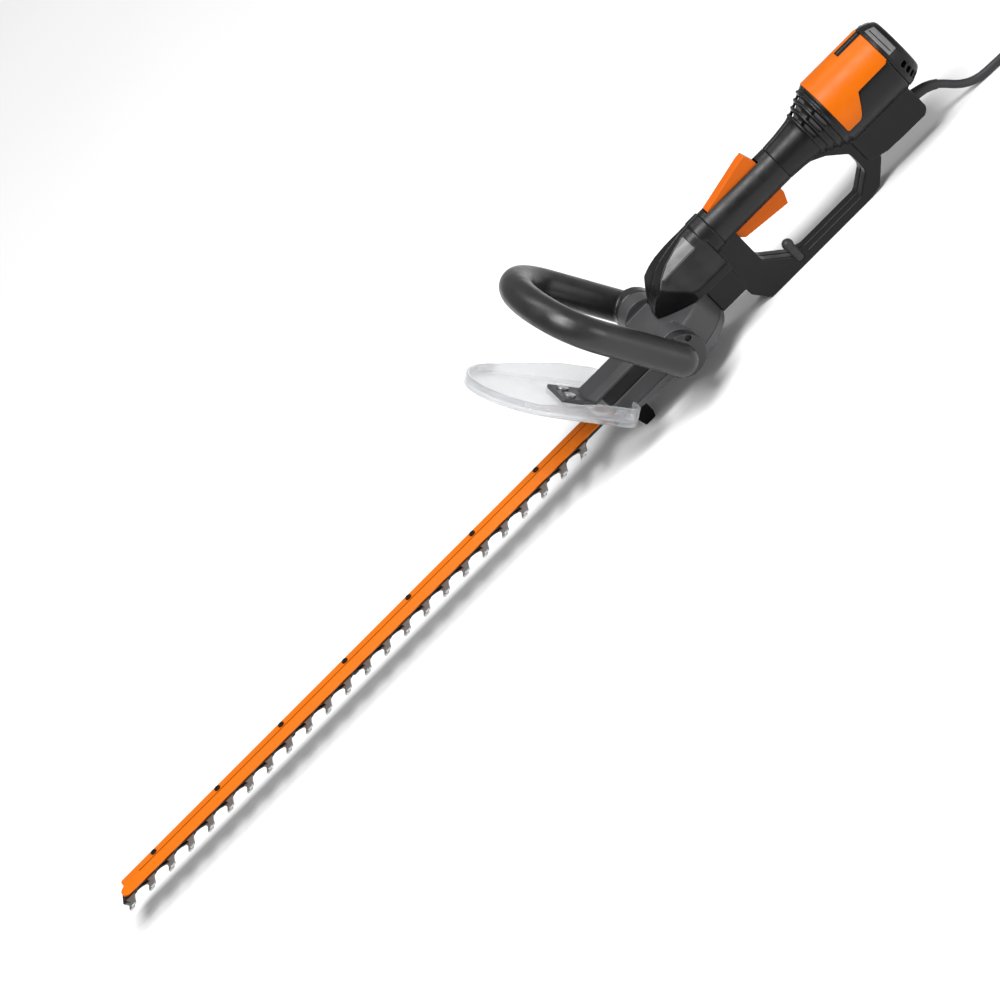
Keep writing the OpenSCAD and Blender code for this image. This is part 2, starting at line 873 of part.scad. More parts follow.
module gear_case_lower() {
  color("gray")
    difference() {
      intersection() {
        case_outer();
        translate([-150, -100, 0]) cube([250, 200, blade_z]);
      }
      case_cavity();
      for (p = case_screw_at) translate([p[0], p[1], 10]) cylinder(h = 18.6, r = 2.8);
      translate([-82, -14.1, 10]) cube([17.1, 28.2, 16.8]);
    }
}

module case_screws() {
  color("silver")
    for (p = case_screw_at) {
      translate([p[0], p[1], 28]) cylinder(h = 16, r = 1.9);
      translate([p[0], p[1], 26.6]) cylinder(h = 2, r = 2.6);
    }
}

module front_foot() {
  color("black")
    side(28) offset(r = 1.5) offset(delta = -1.5)
      polygon([[-81.9, 26.8], [-81.9, 13], [-79, 0], [-67, 0], [-65, 6], [-65, 26.8]]);
}

module wiper_felt() {
  color("tan")
    translate([-72, -24.5, blade_z + bar_top + 0.05]) cube([6, 49, 3.6]);
}

// ---- shield ----

module shield_plane() {
  translate([-85.5, 0, 27]) rotate([0, -shield_lean, 0]) rotate([90, 0, 90]) children();
}

module shield_shape() {
  intersection() {
    union() {
      translate([0, 87]) circle(r = shield_w, $fn = 96);
      translate([-shield_w, 14]) square([2 * shield_w, 73]);
      translate([-shield_w + 14, 0]) square([2 * shield_w - 28, 30]);
      for (s = [-1, 1]) translate([s * (shield_w - 14), 14]) circle(r = 14);
    }
    translate([-80, -5]) square([160, 160]);
  }
}

module shield_gap() {
  translate([-37, -10]) square([74, 50]);
}

module shield() {
  color("lightcyan")
    union() {
      shield_plane() linear_extrude(height = 2.6) difference() {
        shield_shape();
        shield_gap();
      }
      // rim, deepest at the foot
      shield_plane() intersection() {
        translate([0, 0, -1.5]) linear_extrude(height = 20) difference() {
          shield_shape();
          offset(delta = -3) shield_shape();
          shield_gap();
        }
        translate([-80, 0, 0]) rotate([90, 0, 90]) linear_extrude(height = 160)
          polygon([[-6, -2], [-6, 17], [40, 17], [100, 9], [170, 9], [170, -2]]);
      }
      for (y = [-10, 10])
        shield_plane() translate([y, 54, 2]) difference() {
          cylinder(h = 5.05, r = 4.5);
          translate([0, 0, 1.2]) cylinder(h = 9, r = 1.62);
        }
    }
}

module shield_screws() {
  color("silver")
    for (y = [-10, 10])
      shield_plane() translate([y, 54, 3.4]) {
        cylinder(h = 5, r = 1.6);
        translate([0, 0, 3.7]) cylinder(h = 1.8, r = 5.4);
      }
}

// ---- bail handle ----

// centre line plane of the bail: x across, y up along the lean
module bail_plane() {
  translate([-15.5, 0, 54]) rotate([0, -bail_lean, 0]) rotate([90, 0, 90]) children();
}

// stations of the bail in its own plane: [across, up, radius, direction of the outer side]
arm_up = 82.5;
corner = 46;
crown = 108;
function foot_stations(t) =
  [for (a = [-80, -60, -38, -18, 0])
     [t * bail_w, bail_r * sin(a), bail_r * cos(a), t > 0 ? 0 : 180]];
function corner_stations(t) =
  [for (a = [0 : 10 : 60])
     [t * (bail_w - corner + corner * cos(a)), arm_up + corner * sin(a), bail_r,
      t > 0 ? a : 180 - a]];
function crown_stations() =
  [for (a = [68, 76, 84, 90, 96, 104, 112])
     [crown * cos(a), arm_up + (corner - crown) * sin(60) + crown * sin(a), bail_r, a]];
function turned(v) = [for (i = [len(v) - 1 : -1 : 0]) v[i]];

// the bail tube as one closed skin through the stations
module bail_solid() {
  st = concat(foot_stations(1), corner_stations(1), crown_stations(), turned(corner_stations(-1)),
              turned(foot_stations(-1)));
  k = 28;
  n = len(st);
  pts = [for (q = st, j = [0 : k - 1])
           let (a = 360 * j / k)
             [q[0] + q[2] * cos(a) * cos(q[3]), q[1] + q[2] * cos(a) * sin(q[3]), -q[2] * sin(a)]];
  sides = [for (i = [0 : n - 2], j = [0 : k - 1])
             [i * k + j, (i + 1) * k + j, (i + 1) * k + (j + 1) % k, i * k + (j + 1) % k]];
  bail_plane()
    polyhedron(points = pts,
               faces = concat([[for (j = [0 : k - 1]) j]], sides,
                              [[for (j = [0 : k - 1]) n * k - 1 - j]]));
}

module bail_handle() {
  color("black")
    union() {
      bail_solid();
      for (s = [-1, 1])
        difference() {
          translate([hub_x, s * 63.5, hub_z]) rotate([90, 0, 0])
            cylinder(h = 15, r = 21.4, center = true);
          for (p = handle_screw_at) {
            translate([p[0], s * 63, p[1]]) rotate([90, 0, 0])
              cylinder(h = 18, r = 1.95, center = true);
            translate([p[0], s * 70.15, p[1]]) rotate([90, 0, 0])
              cylinder(h = 3.7, r = 3.1, center = true);
          }
        }
    }
}

handle_screw_at = [[3, 62.5], [-26.8, 42]];

module handle_screws() {
  color("silver")
    for (s = [-1, 1])
      for (p = handle_screw_at) {
        translate([p[0], s * 58.2, p[1]]) rotate([90, 0, 0])
          cylinder(h = 20.4, r = 1.9, center = true);
        translate([p[0], s * 68.9, p[1]]) rotate([90, 0, 0]) cylinder(h = 1.2, r = 2.9, center = true);
      }
}

// ---- switch and levers ----

module switch_body() {
  color("gray") translate([166, -7, 76.4]) cube([28, 14, 7.9]);
}

module leads() {
  color("red")
    for (s = [-1, 1]) xcyl(194.1, 239, 1.3, 80.5, s * 4);
}

module capacitor() {
  color("gold") translate([262, -6, 30.1]) cube([18, 12, 4.5]);
}

module trigger() {
  color("darkorange")
    difference() {
      side(12) offset(r = 1) offset(delta = -1)
        polygon([[100.5, 81], [100.5, 67], [107, 60.2], [156.5, 54.6], [161, 66], [161, 73.2],
                 [118, 73.2], [109.5, 81]]);
      ycyl(trigger_at[0], trigger_at[1], 1.57, 20);
      ycyl(trigger_at[0], trigger_at[1], 4.2, 4.4);
      translate([98, -1.2, 73]) cube([7, 2.4, 4.8]);
    }
}

module trigger_pin() {
  color("silver") ycyl(trigger_at[0], trigger_at[1], 1.5, 22);
}

// small torsion spring wound round a pin, its leg resting in the housing
module pin_spring(x, z, lean) {
  union() {
    translate([x, 0, z]) rotate([90, 0, 0])
      rotate_extrude()
        polygon([[1.8, -1.5], [3, -1.5], [3.3, -1], [2.9, -0.5], [3.3, 0], [2.9, 0.5], [3.3, 1],
                 [3, 1.5], [1.8, 1.5]]);
    translate([x, 0, z]) rotate([0, lean, 0]) translate([0, 0, 2.4]) cylinder(h = 5.2, r = 0.45);
  }
}

module trigger_spring() {
  color("silver") pin_spring(trigger_at[0], trigger_at[1], -104);
}

module lock_lever() {
  color("darkorange")
    difference() {
      side(12) offset(r = 1) offset(delta = -1)
        polygon([[97.2, 107.6], [97.2, 97.2], [105.5, 97.2], [112, 102.5], [150, 104], [160.5, 104],
                 [160.5, 108.6], [156.8, 121.2], [150, 120.4], [110, 110.6]]);
      ycyl(lever_at[0], lever_at[1], 1.57, 20);
      ycyl(lever_at[0], lever_at[1], 4.2, 4.4);
      translate([94, -1.2, 100.4]) cube([7, 2.4, 4.6]);
    }
}

module lever_pin() {
  color("silver") ycyl(lever_at[0], lever_at[1], 1.5, 22);
}

module lever_spring() {
  color("silver") pin_spring(lever_at[0], lever_at[1], -76);
}

stand() handle_shell_left();
stand() handle_shell_right();
stand() grip_sleeve();
stand() motor_cover();
stand() rear_cap();
stand() nose_inlays();
stand() cord_hook();
stand() shell_screws();
stand() strain_relief();
stand() cord_clamp();
stand() cord();
stand() plug();
stand() plug_pins();
stand() field_core();
stand() field_coils();
stand() brush_holders();
stand() brushes();
stand() motor_bearings();
stand() baffle();
stand() armature_core();
stand() armature_windings();
stand() commutator();
stand() drive_shaft();
stand() fan();
stand() input_pinion();
stand() shaft_bearing();
stand() switch_body();
stand() leads();
stand() capacitor();
stand() trigger();
stand() trigger_pin();
stand() trigger_spring();
stand() lock_lever();
stand() lever_pin();
stand() lever_spring();
stand() gear_case_upper();
stand() gear_case_lower();
stand() case_screws();
stand() front_foot();
stand() idler_bearings();
stand() idler_shaft();
stand() face_gear();
stand() drive_pinion();
stand() crank_bearing();
stand() crank_gear();
stand() crank_cams();
stand() upper_yoke();
stand() lower_yoke();
stand() upper_blade();
stand() lower_blade();
stand() guide_bar();
stand() blade_bolts();
stand() blade_spacers();
stand() blade_nuts();
stand() wiper_felt();
stand() shield();
stand() shield_screws();
stand() bail_handle();
stand() handle_screws();
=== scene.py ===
"""Looks of a corded hedge trimmer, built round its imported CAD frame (metres, same axes)."""

import json
import math

import bmesh
import bpy
from mathutils import Matrix, Vector


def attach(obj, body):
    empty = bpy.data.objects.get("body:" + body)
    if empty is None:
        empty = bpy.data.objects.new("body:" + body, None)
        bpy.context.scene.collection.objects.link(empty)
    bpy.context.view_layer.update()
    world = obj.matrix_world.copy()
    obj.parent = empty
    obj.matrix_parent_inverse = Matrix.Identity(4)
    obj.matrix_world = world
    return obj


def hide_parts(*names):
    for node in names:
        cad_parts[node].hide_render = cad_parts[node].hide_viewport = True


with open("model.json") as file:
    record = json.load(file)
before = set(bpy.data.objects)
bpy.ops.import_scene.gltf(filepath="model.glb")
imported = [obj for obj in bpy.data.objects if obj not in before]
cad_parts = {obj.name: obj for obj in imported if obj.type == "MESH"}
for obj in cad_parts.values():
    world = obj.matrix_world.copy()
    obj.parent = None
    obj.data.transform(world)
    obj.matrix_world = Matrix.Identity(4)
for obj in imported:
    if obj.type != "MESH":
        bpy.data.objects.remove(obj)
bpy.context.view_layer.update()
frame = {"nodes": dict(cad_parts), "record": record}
NODES = frame["nodes"]
RECORD = frame["record"]

MM = 0.001
BASE_X = 199.6  # mm from the gear case centre to the middle of the trimmer
SHAFT_Z = 89.0  # height of the grip's centre line, mm
FAR, NEAR = 1, -1  # the two flanks, as the sign of y


def at(x, y, z):
    """A design point in mm from the gear case centre, as a point in the frame."""
    return Vector(((x + BASE_X) * MM, y * MM, z * MM))


# ---- camera ----

CAMERA_AIM = Vector((-0.0233, 0.0, 0.0453))
CAMERA_DISTANCE = 12.0
CAMERA_WIDTH = 0.9174  # width of the view at the object
SENSOR = 36.0  # mm
ELEVATION = math.radians(27)
ROLL = math.radians(-45)


def make_camera():
    data = bpy.data.cameras.new("camera")
    data.sensor_width = SENSOR
    data.lens = SENSOR * CAMERA_DISTANCE / CAMERA_WIDTH
    camera = bpy.data.objects.new("camera", data)
    bpy.context.scene.collection.objects.link(camera)
    tilt = Matrix.Rotation(math.pi / 2 - ELEVATION, 4, "X") @ Matrix.Rotation(ROLL, 4, "Z")
    back = Matrix.Translation((0, 0, CAMERA_DISTANCE))
    camera.matrix_world = Matrix.Translation(CAMERA_AIM) @ tilt @ back
    bpy.context.scene.camera = camera


make_camera()


# ---- shader helpers ----

class Shader:
    """A node tree with one Principled shader, and short ways to add to it."""

    def __init__(self, name):
        self.material = bpy.data.materials.new(name)
        self.material.use_nodes = True
        self.tree = self.material.node_tree
        self.tree.nodes.clear()
        out = self.add("ShaderNodeOutputMaterial")
        self.bsdf = self.add("ShaderNodeBsdfPrincipled")
        self.link(self.bsdf.outputs[0], out.inputs[0])
        self.place = self.add("ShaderNodeTexCoord").outputs["Object"]

    def add(self, kind, **values):
        node = self.tree.nodes.new(kind)
        for key, value in values.items():
            setattr(node, key, value)
        return node

    def link(self, a, b):
        self.tree.links.new(a, b)

    def set(self, **values):
        for key, value in values.items():
            self.bsdf.inputs[key.replace("_", " ")].default_value = value

    def noise(self, scale, detail=2.0, stretch=(1, 1, 1), rough=0.5):
        mapping = self.add("ShaderNodeMapping")
        mapping.inputs["Scale"].default_value = [scale * s for s in stretch]
        self.link(self.place, mapping.inputs["Vector"])
        node = self.add("ShaderNodeTexNoise")
        node.inputs["Scale"].default_value = 1.0
        node.inputs["Detail"].default_value = detail
        node.inputs["Roughness"].default_value = rough
        self.link(mapping.outputs[0], node.inputs["Vector"])
        return node.outputs["Fac"]

    def spread(self, value, low, high, start=0.3, end=0.7):
        """value from start to end becomes low to high."""
        node = self.add("ShaderNodeMapRange")
        limits = {"From Min": start, "From Max": end, "To Min": low, "To Max": high}
        for key, number in limits.items():
            node.inputs[key].default_value = number
        self.link(value, node.inputs["Value"])
        return node.outputs["Result"]

    def mix(self, factor, a, b):
        node = self.add("ShaderNodeMix", data_type="RGBA")
        self.link(factor, node.inputs["Factor"])
        for socket, value in ((node.inputs["A"], a), (node.inputs["B"], b)):
            if isinstance(value, bpy.types.NodeSocket):
                self.link(value, socket)
            else:
                socket.default_value = (*value, 1)
        return node.outputs["Result"]

    def times(self, a, b):
        node = self.add("ShaderNodeMath", operation="MULTIPLY")
        self.link(a, node.inputs[0])
        self.link(b, node.inputs[1])
        return node.outputs[0]

    def bump(self, height, distance, strength=0.5, after=None):
        """A bump distance mm deep, on top of the normal after."""
        node = self.add("ShaderNodeBump")
        node.inputs["Distance"].default_value = distance * MM
        node.inputs["Strength"].default_value = strength
        self.link(height, node.inputs["Height"])
        if after is not None:
            self.link(after, node.inputs["Normal"])
        return node.outputs["Normal"]

    def edges(self, start=0.515, end=0.56):
        """1 along outer edges, 0 on flats and in hollows."""
        pointiness = self.add("ShaderNodeNewGeometry").outputs["Pointiness"]
        return self.spread(pointiness, 0, 1, start, end)

    def colour(self, socket):
        self.link(socket, self.bsdf.inputs["Base Color"])

    def rough(self, socket):
        self.link(socket, self.bsdf.inputs["Roughness"])

    def normal(self, socket):
        self.link(socket, self.bsdf.inputs["Normal"])


def scaled(colour, factor):
    return [min(1.0, c * factor) for c in colour[:3]]


# ---- material families ----

def moulded_plastic(name, colour, rough=0.42, depth=0.03, wear=1.6, coat=0.0, shine=0.22):
    """Injection-moulded plastic: fine spark-eroded grain, slight mottling, rubbed edges."""
    s = Shader(name)
    mottle = s.mix(s.noise(38, 3), scaled(colour, 0.86), scaled(colour, 1.14))
    rubbed = s.times(s.edges(), s.spread(s.noise(160, 4), 0.0, 0.75))
    s.colour(s.mix(rubbed, mottle, scaled(colour, wear)))
    s.rough(s.spread(s.noise(75, 4), rough - 0.06, rough + 0.08))
    grain = s.noise(2200, 2)
    s.normal(s.bump(grain, depth, 0.55, s.bump(s.noise(260, 2), 0.02, 0.35)))
    s.set(Specular_IOR_Level=shine, Coat_Weight=coat, Coat_Roughness=0.25)
    return s.material


def soft_rubber(name, colour, rough=0.5, depth=0.04, shine=0.28):
    """Soft overmoulding or cable jacket: matt, with a fine bloom."""
    s = Shader(name)
    bloom = s.spread(s.noise(24, 5, rough=0.65), 0, 1, 0.35, 0.8)
    s.colour(s.mix(bloom, scaled(colour, 0.85), scaled(colour, 1.35)))
    s.rough(s.spread(s.noise(90, 3), rough - 0.05, rough + 0.1))
    s.normal(s.bump(s.noise(1500, 3), depth))
    s.set(Specular_IOR_Level=shine)
    return s.material


GREASE_EDGE = (-17.5 * MM, -14.5 * MM)  # y where the grease under the guide bar fades in


def worked_steel(name, colour, rough=0.3, along=(60, 1800, 1800), oily=False):
    """Metal with fine tool marks along one direction, faint oil smears and brighter edges.
    oily darkens the strip of a blade that runs under the guide bar."""
    s = Shader(name)
    marks = s.noise(1.0, 3, along, 0.6)
    smears = s.spread(s.noise(45, 5, rough=0.6), 0, 1, 0.35, 0.7)
    streaked = s.mix(marks, scaled(colour, 0.8), scaled(colour, 1.2))
    stained = s.mix(s.spread(smears, 0, 0.45, 0, 1), streaked, scaled(colour, 0.62))
    finished = s.mix(s.times(s.edges(0.51, 0.55), marks), stained, scaled(colour, 1.5))
    if oily:
        across = s.add("ShaderNodeSeparateXYZ")
        s.link(s.place, across.inputs[0])
        grease = s.spread(across.outputs["Y"], 0, 1, *GREASE_EDGE)
        finished = s.mix(grease, finished, scaled(colour, 0.12))
    s.colour(finished)
    s.rough(s.spread(smears, rough, rough + 0.12, 0, 1))
    s.normal(s.bump(marks, 0.015, 0.4))
    s.set(Metallic=1.0)
    return s.material


CHIPPED_PAINT = (0.33, 0.14, 0.03)


def painted_bar(name, colour):
    """Painted aluminium bar: light orange peel, small chips at the edges."""
    s = Shader(name)
    tone = s.mix(s.noise(30, 4), scaled(colour, 0.93), scaled(colour, 1.05))
    chips = s.times(s.edges(0.53, 0.6), s.spread(s.noise(420, 5), 0, 1, 0.6, 0.66))
    s.colour(s.mix(chips, tone, CHIPPED_PAINT))
    s.rough(s.spread(s.noise(140, 3), 0.29, 0.41))
    s.normal(s.bump(s.noise(900, 2), 0.02, 0.4))
    s.set(Specular_IOR_Level=0.12)
    return s.material


CLEAR_TINT = (0.66, 0.68, 0.70)
HAZE_TINT = (0.56, 0.58, 0.60)


def clear_plastic(name):
    """Smoky polycarbonate with haze and scratches."""
    s = Shader(name)
    haze = s.spread(s.noise(55, 5, rough=0.6), 0, 1, 0.45, 0.75)
    scratches = s.spread(s.noise(1.0, 2, (120, 2600, 700)), 0, 1, 0.62, 0.7)
    s.colour(s.mix(haze, CLEAR_TINT, HAZE_TINT))
    s.rough(s.spread(scratches, 0.16, 0.3, 0, 1))
    s.normal(s.bump(s.noise(70, 2), 0.15, 0.25))
    s.set(Transmission_Weight=0.8, IOR=1.5, Alpha=0.66)
    return s.material


def oiled_felt(name, colour):
    """Matted wool fibres, dull all over."""
    s = Shader(name)
    fibres = s.noise(1400, 6, (1, 1, 3), 0.75)
    s.colour(s.mix(fibres, scaled(colour, 0.5), scaled(colour, 1.3)))
    s.rough(s.spread(fibres, 0.85, 1.0))
    s.normal(s.bump(fibres, 0.3, 0.9))
    s.set(Sheen_Weight=0.4)
    return s.material


def wound_copper(name, colour):
    """Enamelled wire: fine turns round the shaft line."""
    s = Shader(name)
    turns = s.noise(1.0, 1, (2400, 500, 500))
    s.colour(s.mix(turns, scaled(colour, 0.55), scaled(colour, 1.25)))
    s.rough(s.spread(turns, 0.25, 0.4))
    s.normal(s.bump(turns, 0.1, 0.8))
    s.set(Metallic=0.85, Coat_Weight=0.5, Coat_Roughness=0.15)
    return s.material


# ---- slots: the record's materials, with the colours of the finished tool ----

SPECIAL = {
    "housing_black": lambda n, c: moulded_plastic(n, (0.0035, 0.0035, 0.0038), 0.36, wear=4.0,
                                                  shine=0.26),
    "soft_grip": lambda n, c: soft_rubber(n, (0.004, 0.004, 0.0043), 0.36, shine=0.34),
    "bail_black": lambda n, c: soft_rubber(n, (0.013, 0.013, 0.0135), 0.33, depth=0.015, shine=0.5),
    "cover_orange": lambda n, c: moulded_plastic(n, (0.54, 0.108, 0.0003), 0.36, depth=0.02,
                                                 wear=1.25, shine=0.15),
    "lever_orange": lambda n, c: moulded_plastic(n, (0.54, 0.098, 0.0005), 0.38, wear=1.3,
                                                 shine=0.15),
    "case_grey": lambda n, c: moulded_plastic(n, (0.052, 0.052, 0.054), depth=0.05, wear=1.8),
    "case_metal": lambda n, c: moulded_plastic(n, (0.075, 0.075, 0.078), 0.40, depth=0.05),
    "inlay_grey": lambda n, c: moulded_plastic(n, (0.125, 0.125, 0.128), 0.34, wear=1.4,
                                               shine=0.35),
    "cap_black": lambda n, c: moulded_plastic(n, (0.006, 0.006, 0.0065), 0.38, wear=3.0),
    "foot_black": lambda n, c: moulded_plastic(n, (0.003, 0.003, 0.0032), 0.5, wear=2.0,
                                               shine=0.1),
    "blade_steel": lambda n, c: worked_steel(n, (0.38, 0.38, 0.375), along=(700, 90, 900),
                                             oily=True),
    "bar_orange": lambda n, c: painted_bar(n, (0.58, 0.122, 0.0003)),
    "bolt_black": lambda n, c: worked_steel(n, (0.030, 0.029, 0.028), 0.45, (500, 500, 500)),
    "shield_clear": lambda n, c: clear_plastic(n),
    "felt_tan": oiled_felt,
    "coil_copper": wound_copper,
    "core_steel": lambda n, c: worked_steel(n, c, 0.4, (2600, 90, 90)),
    "capacitor_yellow": lambda n, c: moulded_plastic(n, c, 0.25, coat=0.4),
}
FAMILY = {  # every other slot follows its class and the record's colour
    "matte_plastic": moulded_plastic,
    "rubber": soft_rubber,
    "brushed_steel": worked_steel,
    "brass": worked_steel,
}


def make_materials():
    made = {}
    for row in RECORD["materials"]:
        name, colour = row["slot"], row["base_color"][:3]
        build = SPECIAL.get(name) or FAMILY[row["class"]]
        made[name] = build(name, colour)
    return made


MATERIALS = make_materials()
NODE_SLOT = {row["node"]: row["material_slot"] for row in RECORD["subparts"]}
BODY_OF = {node: body for body, names in RECORD["behaviour"]["bodies"].items() for node in names}


def paint(obj, slot):
    obj.data.materials.clear()
    obj.data.materials.append(MATERIALS[slot])


for node_name, node_object in NODES.items():
    paint(node_object, NODE_SLOT[node_name])


# ---- mesh helpers ----

def link(name, data):
    obj = bpy.data.objects.new(name, data)
    bpy.context.scene.collection.objects.link(obj)
    return obj


def mesh_from(name, bm):
    """The finished bmesh as a mesh."""
    mesh = bpy.data.meshes.new(name)
    bm.to_mesh(mesh)
    bm.free()
    return mesh


def settle(obj):
    """Applies every modifier."""
    graph = bpy.context.evaluated_depsgraph_get()
    mesh = bpy.data.meshes.new_from_object(obj.evaluated_get(graph))
    obj.modifiers.clear()
    obj.data = mesh


def finish_piece(obj, nodes):
    """Puts the piece on its body in place of the CAD nodes, with their finish."""
    slot = NODE_SLOT[nodes[0]]
    paint(obj, slot)
    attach(obj, BODY_OF[nodes[0]])
    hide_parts(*nodes)
    return obj


def smooth_shade(obj, angle=35):
    """Smooth shading that breaks at edges sharper than angle degrees."""
    mesh = obj.data
    mesh.shade_smooth()
    bm = bmesh.new()
    bm.from_mesh(mesh)
    for edge in bm.edges:
        if len(edge.link_faces) == 2 and edge.calc_face_angle(0) > math.radians(angle):
            edge.smooth = False
    bm.to_mesh(mesh)
    bm.free()


def soften(obj, voxel, rounds, keep=1.0):
    """Rounds every edge as moulding does: an even skin of cells voxel mm wide, relaxed
    rounds times and thinned to the share keep of its faces."""
    skin = obj.modifiers.new("skin", "REMESH")
    skin.mode = "VOXEL"
    skin.voxel_size = voxel * MM
    relax = obj.modifiers.new("relax", "SMOOTH")
    relax.factor = 0.5
    relax.iterations = rounds
    if keep < 1:
        thin = obj.modifiers.new("thin", "DECIMATE")
        thin.ratio = keep
    settle(obj)
    obj.data.shade_smooth()


def moulded(name, node, voxel, rounds=4, keep=1.0):
    """A softened copy of a CAD node that stands for it."""
    obj = link(name, NODES[node].data.copy())
    soften(obj, voxel, rounds, keep)
    return finish_piece(obj, [node])


def add_weld(obj):
    """Joins the corners that the CAD mesh keeps apart."""
    weld = obj.modifiers.new("weld", "WELD")
    weld.merge_threshold = 1e-6


def add_bevel(obj, width, segments, angle):
    """Breaks edges sharper than angle degrees by width mm."""
    edge = obj.modifiers.new("edge", "BEVEL")
    edge.width = width * MM
    edge.segments = segments
    edge.limit_method = "ANGLE"
    edge.angle_limit = math.radians(angle)


def add_rods(bm, places, sides, radius, length):
    """Closed rods of radius and length in mm, along local Z at each placing."""
    for place in places:
        bmesh.ops.create_cone(bm, cap_ends=True, segments=sides, radius1=radius * MM,
                              radius2=radius * MM, depth=length * MM, matrix=place)


def cut_away(obj, bm, crossing=False):
    """Subtracts the bmesh from obj, once its modifiers are settled; returns the cutter.
    crossing allows for parts of obj that cross each other."""
    cutter = link("cutter", mesh_from("cutter", bm))
    cut = obj.modifiers.new("cut", "BOOLEAN")
    cut.operation = "DIFFERENCE"
    cut.solver = "EXACT"
    cut.use_self = crossing
    cut.object = cutter
    return cutter


# ---- mains lead ----

CORD_D = 8.0
# mm: from the strain relief down to the floor, along it and up into the plug
CORD_ROUTE = [
    (309, 0, 38.8), (314, 0, 37.9), (320, 0, 36.3), (325.8, 0, 33.6), (331, 0, 30),
    (335.3, 0, 25.6), (339, 0, 21.2), (342.6, 0, 16.9), (347.2, 0, 12.4), (352.3, -0.2, 8.8),
    (358, -0.5, 6.2), (364, -0.9, 4.6), (370.5, -1.4, 4), (388, -3, 4), (406, -3.5, 4),
    (424, -2, 4), (442, 2, 4), (460, 7, 4), (478, 12, 4), (496, 16.5, 4), (514, 19.8, 4),
    (532, 21.6, 4), (548, 22, 4), (560, 22, 4.9), (570, 22, 6.6), (580, 22, 7.8),
    (588, 22, 8), (596, 22, 8), (604, 22, 8),
]


def make_cord():
    curve = bpy.data.curves.new("mains_lead", "CURVE")
    curve.dimensions = "3D"
    line = curve.splines.new("POLY")
    points = [at(*p) for p in CORD_ROUTE]
    line.points.add(len(points) - 1)
    for spot, point in zip(line.points, points):
        spot.co = (*point, 1)
    line.use_smooth = True
    curve.bevel_depth = CORD_D / 2 * MM
    curve.bevel_resolution = 6
    curve.use_fill_caps = True
    lead = link("mains_lead", curve)
    paint(lead, "cord_rubber")
    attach(lead, "housing")
    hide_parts("cord")
    plug = moulded("mains_plug", "plug", 0.45, 3)


make_cord()


# ---- moulded pieces ----

MOULDED = (  # piece, node, voxel in mm, relaxing rounds, share of faces kept
    ("handle_left", "handle_shell_left", 0.95, 4, 0.45),
    ("handle_right", "handle_shell_right", 0.95, 4, 0.45),
    ("motor_hood", "motor_cover", 0.6, 4, 0.6),
    ("motor_end_cap", "rear_cap", 0.7, 3, 0.6),
    ("gear_housing", "gear_case_upper", 0.9, 4, 0.5),
    ("gear_base", "gear_case_lower", 0.75, 4, 0.5),
    ("stand_foot", "front_foot", 0.6, 4, 1.0),
    ("squeeze_trigger", "trigger", 0.5, 4, 1.0),
    ("safety_lever", "lock_lever", 0.5, 4, 1.0),
    ("cord_keeper", "cord_hook", 0.5, 3, 1.0),
    ("cord_sleeve", "strain_relief", 0.4, 2, 1.0),
    ("hand_shield", "shield", 0.6, 5, 0.6),
)
for row in MOULDED:
    moulded(*row)


# ---- CAD nodes carried as they are, with broken edges ----

EDGE_WIDTHS = {  # mm
    "grip_sleeve": 0.35, "nose_inlays": 0.5, "upper_blade": 0.4, "lower_blade": 0.4,
    "guide_bar": 0.35, "blade_nuts": 0.4, "blade_spacers": 0.15, "plug_pins": 0.3,
    "switch_body": 0.6, "capacitor": 0.6, "brush_holders": 0.2, "brushes": 0.2,
    "upper_yoke": 0.3, "lower_yoke": 0.3, "crank_cams": 0.4, "cord_clamp": 0.4,
    "wiper_felt": 0.5, "face_gear": 0.15, "drive_pinion": 0.15, "crank_gear": 0.15,
    "input_pinion": 0.1, "fan": 0.15, "armature_core": 0.15, "commutator": 0.15,
    "field_core": 0.2, "field_coils": 0.5, "armature_windings": 0.8, "motor_bearings": 0.3,
    "shaft_bearing": 0.3, "idler_bearings": 0.3, "crank_bearing": 0.3, "drive_shaft": 0.3,
    "idler_shaft": 0.3, "baffle": 0.3, "leads": 0.2, "trigger_pin": 0.2, "lever_pin": 0.2,
    "trigger_spring": 0.05, "lever_spring": 0.05,
}
FINE_EDGE = 0.12  # mm: edges up to this width get one facet, wider ones two

for node_name, edge_width in EDGE_WIDTHS.items():
    carried = NODES[node_name]
    add_weld(carried)
    add_bevel(carried, edge_width, 2 if edge_width > FINE_EDGE else 1, 35)
    carried.data.shade_smooth()
    normals = carried.modifiers.new("normals", "WEIGHTED_NORMAL")
    normals.keep_sharp = True


# ---- trim, and dark sheets of painted shade, set into the housings ----

def inset_sheet_piece(name, mesh, slot, thickness, edge_width):
    """A thin piece on the housing, from a sheet mesh in the frame: real trim, or a dark sheet of
    painted shade.
    """
    obj = link(name, mesh)
    sheet = obj.modifiers.new("sheet", "SOLIDIFY")
    sheet.thickness = thickness * MM
    sheet.offset = 0
    add_bevel(obj, edge_width, 2, 30)
    settle(obj)
    smooth_shade(obj)
    paint(obj, slot)
    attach(obj, "housing")


def sheet_mesh(name, rows, skip=()):
    """A sheet through rows of points; skip names the (row, column) cells left open."""
    bm = bmesh.new()
    grid = [[bm.verts.new(point) for point in row] for row in rows]
    for i in range(len(grid) - 1):
        for j in range(len(grid[i]) - 1):
            if (i, j) not in skip:
                bm.faces.new((grid[i][j], grid[i + 1][j], grid[i + 1][j + 1], grid[i][j + 1]))
    bmesh.ops.recalc_face_normals(bm, faces=bm.faces)
    return mesh_from(name, bm)


